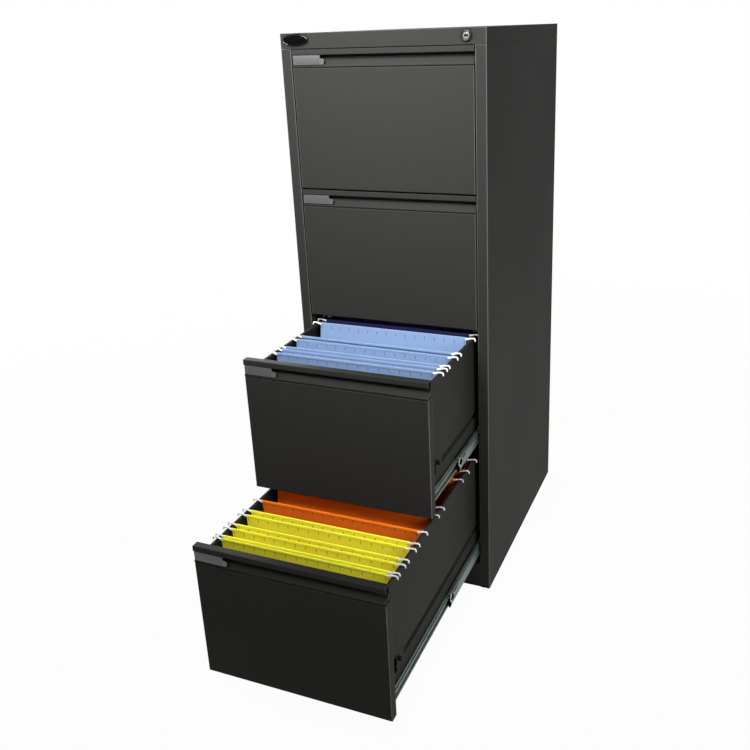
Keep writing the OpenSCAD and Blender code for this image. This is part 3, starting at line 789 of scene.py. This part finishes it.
class CABINET_OT_fittings(bpy.types.Operator):
    """Title holders with blank cards, the blank domed badge, the lock's bezel, and black pieces of painted
    shade round the lock's plug and in its keyway
    """

    bl_idname = "cabinet.fittings"
    bl_label = "Small fittings"

    def execute(self, context):
        s = context.scene.cabinet_fittings
        clear = clear_plastic("clear_pvc", s.clear)
        card = file_card("grey_card_behind_window", s.card, window=1.0)
        for n in DRAWERS:
            node = f"drawer{n}_label_holder"
            dress(node, clear)
            # The card lies on the face of the solid holder, and its own coat stands for the window over it
            lo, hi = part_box(node)
            section = rounded(0.2 * MM, (hi.z - lo.z) / 2 - 1.6 * MM, 0.15 * MM)
            y, z = lo.y - 0.1 * MM, (lo.z + hi.z) / 2
            path = [(lo.x + 1.8 * MM, y, z), (hi.x - 12 * MM, y, z)]
            piece(f"title_card_{n}", carried(path, section), card, f"drawer_{n}")
        self.badge(s)
        self.lock(s)
        return {"FINISHED"}

    def badge(self, s):
        """An oval with a rounded rim and a shallow dome: height = rim + dome * (1 - r^2) inside the rim.

        A narrow polished bead stands round the enamel: a half-round carried round the oval."""
        lo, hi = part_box("badge")
        c, a, b = middle("badge"), (hi.x - lo.x) / 2, (hi.z - lo.z) / 2
        t = np.linspace(0, 2 * np.pi, 2 * s.segments, endpoint=False)
        r = np.linspace(DOME_SHARE, 0.0, 9)
        inner = np.stack([r, BADGE_RIM[-1][1] + s.dome / MM * (1 - (r / DOME_SHARE) ** 2)], -1)
        profile = np.concatenate([[[0.0, 0.0]], BADGE_RIM, inner])
        share, h = profile[:, :1], profile[:, 1:] * MM
        points = np.stack([c.x + share * a * np.cos(t), hi.y - h + 0 * t, c.z + share * b * np.sin(t)], -1)
        dome = points.reshape(-1, 3), grid_faces(len(profile), len(t))
        # Stoved enamel is smooth and deep black, with little light on it except at the bead
        enamel = moulded("black_enamel", s.enamel, 0.12, 0.012)
        made = piece("domed_badge", dome, enamel, "cabinet")
        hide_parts("badge")
        around = np.linspace(0, 2 * np.pi, 9)[:-1]
        ring = np.stack([0.75 * np.cos(around), 0.75 * np.sin(around)], -1) * MM
        wide = np.array([a, b]) - 1.3 * MM
        x = c.x + (wide[0] + ring[:, :1]) * np.cos(t)
        y = hi.y - 1.75 * MM - ring[:, 1:] + 0 * t
        z = c.z + (wide[1] + ring[:, :1]) * np.sin(t)
        bead = np.stack([x, y, z], -1).reshape(-1, 3), grid_faces(len(ring), len(t), True)
        gloss = moulded("black_gloss_rim", s.enamel, 0.08, 0.35)
        piece("badge_rim", bead, gloss, "cabinet")

    def lock(self, s):
        """A half-round ring at the edge of the housing, a black ring round the plug as painted shade in its
        gap, and a black plate in the keyway as painted shade.
        """
        lo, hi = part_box("lock_housing")
        c, outer, wide = middle("lock_housing"), (hi.x - lo.x) / 2, 3.0 * MM
        place = [(c.x, lo.y, c.z)]
        t = np.linspace(0, np.pi, 9)
        ring = np.stack([(outer + outer - wide) / 2 + wide / 2 * np.cos(t), 0.9 * MM * np.sin(t)], -1)
        bezel = turned(np.concatenate([ring, ring[:1]]), s.segments)
        # The bezel's dark nickel colour is painted shade and dark reflection, and its edges are lightened as a
        # painted highlight; the black pieces round the plug and in the keyway are painted shade
        shaded_nickel = plated("dull_nickel_bezel", srgb("#35332f"), 0.3, 0.2 * MM, 2.2)
        piece("lock_bezel", copies(bezel, place), shaded_nickel, "cabinet")
        black = moulded("black_rubber_seal", srgb("#050505"), 0.6, 0.05)
        shade_ring = turned(np.array(GAP_SHADE_RING) * MM, s.segments)
        piece("lock_seal", copies(shade_ring, place), black, "cabinet")
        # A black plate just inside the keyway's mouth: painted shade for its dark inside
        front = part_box("lock_plug")[0].y
        key = rounded(4.6 * MM, 2.1 * MM, 2.0 * MM, 4)
        key = np.stack([key[:, 0] + c.x, key[:, 1] + c.z], -1)
        piece("keyway_shutter", drawn(key, front - 0.15 * MM, front + 1.2 * MM), black, "lock_plug")


class CABINET_OT_studio(bpy.types.Operator):
    """Pale floor and world, soft lamps, and the camera"""

    bl_idname = "cabinet.studio"
    bl_label = "Studio"

    def execute(self, context):
        s = context.scene.cabinet_studio
        self.floor()
        self.world(s.fill)
        for name, size, place, target, spread in LAMPS:
            self.lamp(f"{name}_lamp", getattr(s, name), size, place, target, spread)
        self.camera(s.lens)
        context.scene.view_settings.view_transform = "Standard"
        return {"FINISHED"}

    def camera(self, lens):
        """The camera, turned about Z, then tilted down, then rolled about the line of sight."""
        data = bpy.data.cameras.new("camera")
        data.sensor_width, data.lens = SENSOR_WIDTH, lens
        data.shift_x, data.shift_y = CAMERA_SHIFT
        c, n = np.cos, np.sin
        turn, down, roll = CAMERA_TURN, CAMERA_DOWN, CAMERA_ROLL
        yaw = np.array([[c(turn), -n(turn), 0], [n(turn), c(turn), 0], [0, 0, 1]])
        tilt = np.array([[1, 0, 0], [0, c(down), n(down)], [0, -n(down), c(down)]])
        tip = np.array([[c(roll), 0, n(roll)], [0, 1, 0], [-n(roll), 0, c(roll)]])
        m = yaw @ tilt @ tip
        full = np.eye(4)
        full[:3] = np.stack([m[:, 0], m[:, 2], -m[:, 1], CAMERA_PLACE], -1)
        made = bpy.data.objects.new("camera", data)
        bpy.context.scene.collection.objects.link(made)
        made.matrix_world = Matrix(full.tolist())
        bpy.context.scene.camera = made

    def lamp(self, name, watts, size, place, target, spread):
        """A square softbox; a grid over it narrows its spread, in degrees."""
        light = bpy.data.lights.new(name, "AREA")
        light.energy, light.size, light.shape, light.spread = watts, size, "SQUARE", math.radians(spread)
        made = bpy.data.objects.new(name, light)
        bpy.context.scene.collection.objects.link(made)
        made.location = place
        made.visible_camera = False
        towards = Vector([t - p for t, p in zip(target, place)])
        made.rotation_mode = "QUATERNION"
        made.rotation_quaternion = towards.to_track_quat("-Z", "Y")

    def seen(self, tree):
        """1 for camera, glossy and transmission rays, and 0 for the light that falls on things."""
        path = add(tree, "ShaderNodeLightPath").node.outputs
        both = add(
            tree, "ShaderNodeMath", {0: path["Is Camera Ray"], 1: path["Is Glossy Ray"]}, operation="MAXIMUM"
        )
        return add(tree, "ShaderNodeMath", {0: both, 1: path["Is Transmission Ray"]}, operation="MAXIMUM")

    def floor(self):
        """A flat pale sheet: mostly its own white where it is seen, and the rest keeps the shadow.

        The part that keeps the shadow fades out with the distance from the middle."""
        mesh = bpy.data.meshes.new("floor")
        corners = [(x * FLOOR_HALF, y * FLOOR_HALF, 0) for x, y in ((-1, -1), (1, -1), (1, 1), (-1, 1))]
        mesh.from_pydata(corners, [], [(0, 1, 2, 3)])
        floor = bpy.data.objects.new("floor", mesh)
        bpy.context.scene.collection.objects.link(floor)
        material, tree, at = started("studio_floor_white")
        matt = add(tree, "ShaderNodeBsdfDiffuse", {"Color": srgb("#a0a0a0")})
        white = add(tree, "ShaderNodeEmission", {"Color": WHITE, "Strength": 1.0})
        away = add(tree, "ShaderNodeVectorMath", {0: at}, "Value", operation="LENGTH")
        own = add(
            tree, "ShaderNodeMapRange",
            {"Value": away, "From Min": SHADOW_NEAR, "From Max": SHADOW_FAR, "To Min": 0.97, "To Max": 1.0},
        )
        share = add(tree, "ShaderNodeMath", {0: self.seen(tree), 1: own}, operation="MULTIPLY")
        mix = add(tree, "ShaderNodeMixShader", {0: share, 1: matt, 2: white})
        mesh.materials.append(ended(material, tree, mix))

    def world(self, fill):
        """White where it is seen, and an even fill on the object."""
        world = bpy.data.worlds.new("studio")
        world.use_nodes = True
        tree = world.node_tree
        tree.nodes.clear()
        strength = add(tree, "ShaderNodeMapRange", {"Value": self.seen(tree), "To Min": fill, "To Max": 1.0})
        back = add(tree, "ShaderNodeBackground", {"Color": WHITE, "Strength": strength})
        add(tree, "ShaderNodeOutputWorld", {"Surface": back})
        bpy.context.scene.world = world


class CABINET_PT_panel(bpy.types.Panel):
    """Settings and steps of the filing cabinet"""

    bl_idname = "CABINET_PT_panel"
    bl_label = "Filing cabinet"
    bl_space_type = "VIEW_3D"
    bl_region_type = "UI"
    bl_category = "Filing cabinet"

    def draw(self, context):
        for name, group in GROUPS.items():
            box = self.layout.box()
            for key in group.__annotations__:
                box.prop(getattr(context.scene, name), key)
        for step in STEPS:
            self.layout.operator(step.bl_idname)


STEPS = (CABINET_OT_steel, CABINET_OT_slides, CABINET_OT_files, CABINET_OT_fittings, CABINET_OT_studio)


def register():
    """Adds the settings, the steps and the panel."""
    for cls in (*GROUPS.values(), *STEPS, CABINET_PT_panel):
        bpy.utils.register_class(cls)
    for name, group in GROUPS.items():
        setattr(bpy.types.Scene, name, PointerProperty(type=group))


def unregister():
    """Takes them away again."""
    for name in GROUPS:
        delattr(bpy.types.Scene, name)
    for cls in reversed((*GROUPS.values(), *STEPS, CABINET_PT_panel)):
        bpy.utils.unregister_class(cls)


def main():
    """Makes every piece in order."""
    register()
    bpy.ops.cabinet.steel()
    bpy.ops.cabinet.slides()
    bpy.ops.cabinet.files()
    bpy.ops.cabinet.fittings()
    bpy.ops.cabinet.studio()


if __name__ == "__main__":
    main()
